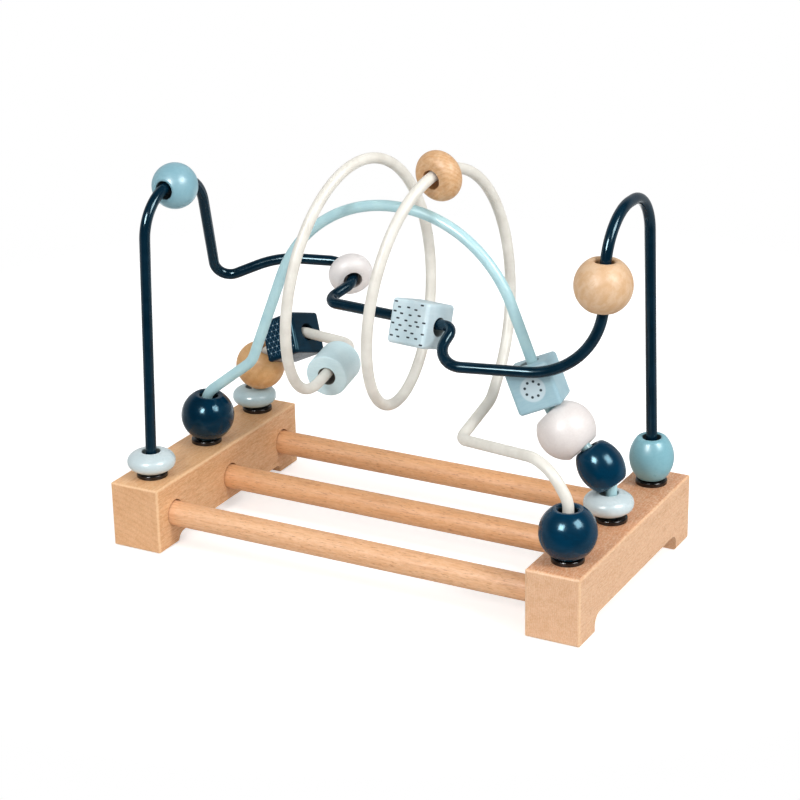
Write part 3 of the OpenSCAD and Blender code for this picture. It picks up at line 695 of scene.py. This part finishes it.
darkMaple = dict(maple, name="darkWood", light="dfab6f", dark="d0995c", line="a5703b", pale="ebc18b",
                 turn=(0.2, 0.3, 1.1), pith=(0.01, -0.022, 0.016))
darkWood = woodFinish(darkMaple, "own")

# sizes that several beads share
anyBead = {"bore": 10, "mouth": 0.8}
disc = dict(anyBead, width=27, length=11.75, rim=4.583, shoulder=9.988)
ring = dict(anyBead, length=13, belly=7, lip=4)
ball = dict(anyBead, width=30.5, flat=3)
barrel = dict(anyBead, width=24.5, length=24, belly=18, lip=2.5)
cube = dict(anyBead, width=24.5, edge=2, mouth=0.5, face=11.9)  # ink starts just under a face


# prints on the cubes
def onFace(tree, value, look):
    return calc(tree, "GREATER_THAN", calc(tree, "ABSOLUTE", value), look["face"])


def spread(tree, x, y):  # distance from the middle of a flat pattern
    squares = [calc(tree, "POWER", value, 2.0) for value in (x, y)]
    return calc(tree, "SQRT", calc(tree, "ADD", *squares))


# beads on the navy wire
leftFrontDisc = dict(disc, node="left_front_disc", slot="pale_paint", axis=(0.0014, 0.0015, 1))
threadBead(leftFrontDisc, turnedRings(ovalProfile(leftFrontDisc)), paleEnamel)

archBall = dict(ball, node="arch_ball", slot="light_blue_paint", axis=(0.0166, 0.9999, 0.0001),
                width=25.5, flat=1.5)
threadBead(archBall, turnedRings(roundProfile(ballBead(archBall))), lightBlueEnamel)

whiteRing = dict(ring, node="white_ring", slot="white_paint", axis=(0.6246, -0.7092, -0.3269), width=25)
threadBead(whiteRing, turnedRings(roundProfile(whiteRing)), litRingEnamel)

dashCube = dict(cube, node="dash_cube", slot="dash_print", axis=(0.9875, -0.1559, 0.0238), roll=-18,
                gap=5.9, rowGap=3.1, long=2.2, wide=0.95, start=1.3, looseAlong=0.8, looseOver=0.5,
                reach=10.6, ink="0b2231")


def dashes(tree, own, colour):  # staggered dashes along the bore, on the two faces beside it
    gap, rowGap, wide = dashCube["gap"], dashCube["rowGap"], dashCube["wide"]
    looseAlong, looseOver = dashCube["looseAlong"], dashCube["looseOver"]
    x, y, z = apart(tree, own)
    rowOf = calc(tree, "FLOOR", calc(tree, "DIVIDE", y, rowGap))
    shift = calc(tree, "MULTIPLY", calc(tree, "FLOORED_MODULO", rowOf, 2.0), gap / 2)
    slid = calc(tree, "ADD", calc(tree, "ADD", z, shift), dashCube["start"])
    cell = calc(tree, "FLOOR", calc(tree, "DIVIDE", slid, gap))
    seed = put(tree, "ShaderNodeCombineXYZ", {0: rowOf, 1: cell, 2: calc(tree, "SIGN", x)}).outputs[0]
    toss = apart(tree, put(tree, "ShaderNodeTexWhiteNoise", {"Vector": seed}).outputs["Color"])
    along = calc(tree, "SUBTRACT", calc(tree, "FLOORED_MODULO", slid, gap), gap / 2)
    along = calc(tree, "SUBTRACT", along, fade(tree, toss[0], 0.0, 1.0, -looseAlong, looseAlong))
    over = calc(tree, "SUBTRACT", calc(tree, "FLOORED_MODULO", y, rowGap), rowGap / 2)
    over = calc(tree, "SUBTRACT", over, fade(tree, toss[1], 0.0, 1.0, -looseOver, looseOver))
    longer = calc(tree, "SUBTRACT", calc(tree, "ABSOLUTE", along), (dashCube["long"] - wide) / 2)
    far = spread(tree, calc(tree, "MAXIMUM", longer, 0.0), over)
    ink = fade(tree, far, wide / 2 - 0.1, wide / 2 + 0.08, 1, 0)
    overAt = calc(tree, "ABSOLUTE", calc(tree, "SUBTRACT", y, over))  # the middle of that dash
    alongAt = calc(tree, "ABSOLUTE", calc(tree, "SUBTRACT", z, along))
    whole = calc(tree, "LESS_THAN", calc(tree, "MAXIMUM", overAt, alongAt), dashCube["reach"])
    ink = calc(tree, "MULTIPLY", calc(tree, "MULTIPLY", ink, whole), onFace(tree, x, dashCube))
    return blendColours(tree, ink, colour, paint(dashCube["ink"]))


dashPaint = enamelFinish(dict(enamel, name="dashPaint", colour="cfe2e9", shade="c3dae2",
                              rough=0.42, lacquer=0.08), dashes)
threadBead(dashCube, cubeRings(dashCube), dashPaint)

rightBall = dict(ball, node="right_ball", slot="maple", axis=(0.0358, 0.0134, 0.9993))
threadBead(rightBall, turnedRings(roundProfile(ballBead(rightBall))), mapleWood)

rightBackBarrel = dict(barrel, node="right_back_barrel", slot="mid_blue_paint", axis=(0, -0.0443, 0.999))
threadBead(rightBackBarrel, turnedRings(roundProfile(rightBackBarrel)), midBlueEnamel)

# beads on the sky blue wire
leftMiddleBall = dict(ball, node="left_middle_ball", slot="navy_paint", axis=(0.1081, 0, 0.9941))
threadBead(leftMiddleBall, turnedRings(roundProfile(ballBead(leftMiddleBall))), leftNavy)

printCube = dict(cube, node="print_cube", slot="dot_print", axis=(-0.3851, 0, 0.9229), roll=14,
                 patch=6.8, ring=4.3, dots=8, dot=0.75, pale="c3d6de", ink="17303d")


def dotRing(tree, own, colour):  # pale round patch with a ring of dots
    x, y, z = apart(tree, own)
    out = spread(tree, x, z)
    step = 2 * math.pi / printCube["dots"]
    turn = calc(tree, "ADD", calc(tree, "ARCTAN2", z, x), 10 * step)  # kept above 0
    turn = calc(tree, "SUBTRACT", calc(tree, "FLOORED_MODULO", turn, step), step / 2)
    aside = calc(tree, "SUBTRACT", calc(tree, "MULTIPLY", out, calc(tree, "COSINE", turn)), printCube["ring"])
    dot = spread(tree, aside, calc(tree, "MULTIPLY", out, calc(tree, "SINE", turn)))
    on = onFace(tree, y, printCube)
    patch = fade(tree, out, printCube["patch"] - 0.5, printCube["patch"] + 0.5, 1, 0)
    ink = fade(tree, dot, printCube["dot"] - 0.1, printCube["dot"] + 0.1, 1, 0)
    colour = blendColours(tree, calc(tree, "MULTIPLY", patch, on), colour, paint(printCube["pale"]))
    return blendColours(tree, calc(tree, "MULTIPLY", ink, on), colour, paint(printCube["ink"]))


printPaint = enamelFinish(dict(enamel, name="printPaint", colour="a2c4cf", shade="97bbc8",
                               rough=0.38, lacquer=0.12), dotRing)
threadBead(printCube, cubeRings(printCube), printPaint)

whiteBall = dict(ball, node="white_ball", slot="white_paint", axis=(-0.7534, 0, 0.6576), width=31.5, flat=4)
threadBead(whiteBall, turnedRings(roundProfile(ballBead(whiteBall))), whiteEnamel)

navyBarrel = dict(barrel, node="navy_barrel", slot="navy_paint", axis=(-0.6074, 0, 0.7944), lip=3.5)
threadBead(navyBarrel, turnedRings(roundProfile(navyBarrel)), navyEnamel)

rightMiddleDisc = dict(disc, node="right_middle_disc", slot="pale_paint", axis=(0, 0, 1))
threadBead(rightMiddleDisc, turnedRings(ovalProfile(rightMiddleDisc)), paleEnamel)

# beads on the cream wire
leftBackDisc = dict(disc, node="left_back_disc", slot="grey_blue_paint", axis=(0, 0, 1), width=26)
threadBead(leftBackDisc, turnedRings(ovalProfile(leftBackDisc)), greyBlueEnamel)

leftBackBall = dict(ball, node="left_back_ball", slot="dark_wood", axis=(0.416, -0.0134, 0.9093), width=29)
threadBead(leftBackBall, turnedRings(roundProfile(ballBead(leftBackBall))), darkWood)

darkCube = dict(cube, node="dark_cube", slot="line_print", axis=(0.8949, -0.0665, 0.4413), roll=-18,
                gap=3.1, wide=0.2, dot=0.38, reach=(9.8, 10.4), ink="5d87a4", dotInk="d5e4ec")


def triangles(tree, own, colour):  # lattice of fine lines in three directions, with a dot where they meet
    x, y, z = apart(tree, own)
    gap, wide, lines, squares = darkCube["gap"], darkCube["wide"], [], []
    for turn, offset in ((0, 0.5), (60, 0.0), (120, 0.5)):
        c, s = math.cos(math.radians(turn)), math.sin(math.radians(turn))
        d = calc(tree, "ADD", calc(tree, "MULTIPLY", y, c), calc(tree, "MULTIPLY", z, s))
        d = calc(tree, "ADD", d, (offset + 0.5) * gap)
        d = calc(tree, "SUBTRACT", calc(tree, "FLOORED_MODULO", d, gap), gap / 2)
        lines.append(calc(tree, "ABSOLUTE", d))
        squares.append(calc(tree, "POWER", lines[-1], 2.0))
    nearest = calc(tree, "MINIMUM", lines[0], calc(tree, "MINIMUM", lines[1], lines[2]))
    away = calc(tree, "SQRT", calc(tree, "ADD", squares[0], calc(tree, "ADD", squares[1], squares[2])))
    reach = calc(tree, "MAXIMUM", calc(tree, "ABSOLUTE", y), calc(tree, "ABSOLUTE", z))
    face = calc(tree, "MULTIPLY", onFace(tree, x, darkCube), fade(tree, reach, *darkCube["reach"], 1, 0))
    ink = fade(tree, nearest, wide / 2 - 0.06, wide / 2 + 0.1, 0.6, 0)
    colour = blendColours(tree, calc(tree, "MULTIPLY", ink, face), colour, paint(darkCube["ink"]))
    dot = fade(tree, away, darkCube["dot"] - 0.1, darkCube["dot"] + 0.15, 0.9, 0)
    return blendColours(tree, calc(tree, "MULTIPLY", dot, face), colour, paint(darkCube["dotInk"]))


darkPaint = enamelFinish(dict(navy, name="darkPaint", colour="03283c", shade="022133",
                              rough=0.2, gloss=0.3, tint="b4eeff"), triangles)
threadBead(darkCube, cubeRings(darkCube), darkPaint)

paleRoll = dict(anyBead, node="pale_roll", slot="light_blue_paint", axis=(0.1307, -0.9868, -0.0955),
                width=24.5, length=22, lip=1, mouth=0.5)
threadBead(paleRoll, turnedRings(rollProfile(paleRoll)), rollEnamel)

spiralRing = dict(ring, node="spiral_ring", slot="maple", axis=(0.219, 0.9655, 0.1411), width=27.5)
threadBead(spiralRing, turnedRings(roundProfile(spiralRing)), ringWood)

rightFrontBall = dict(ball, node="right_front_ball", slot="navy_paint", axis=(-0.001, 0, 1))
threadBead(rightFrontBall, turnedRings(roundProfile(ballBead(rightFrontBall))), navyEnamel)
print("beads: seventeen on three wires")
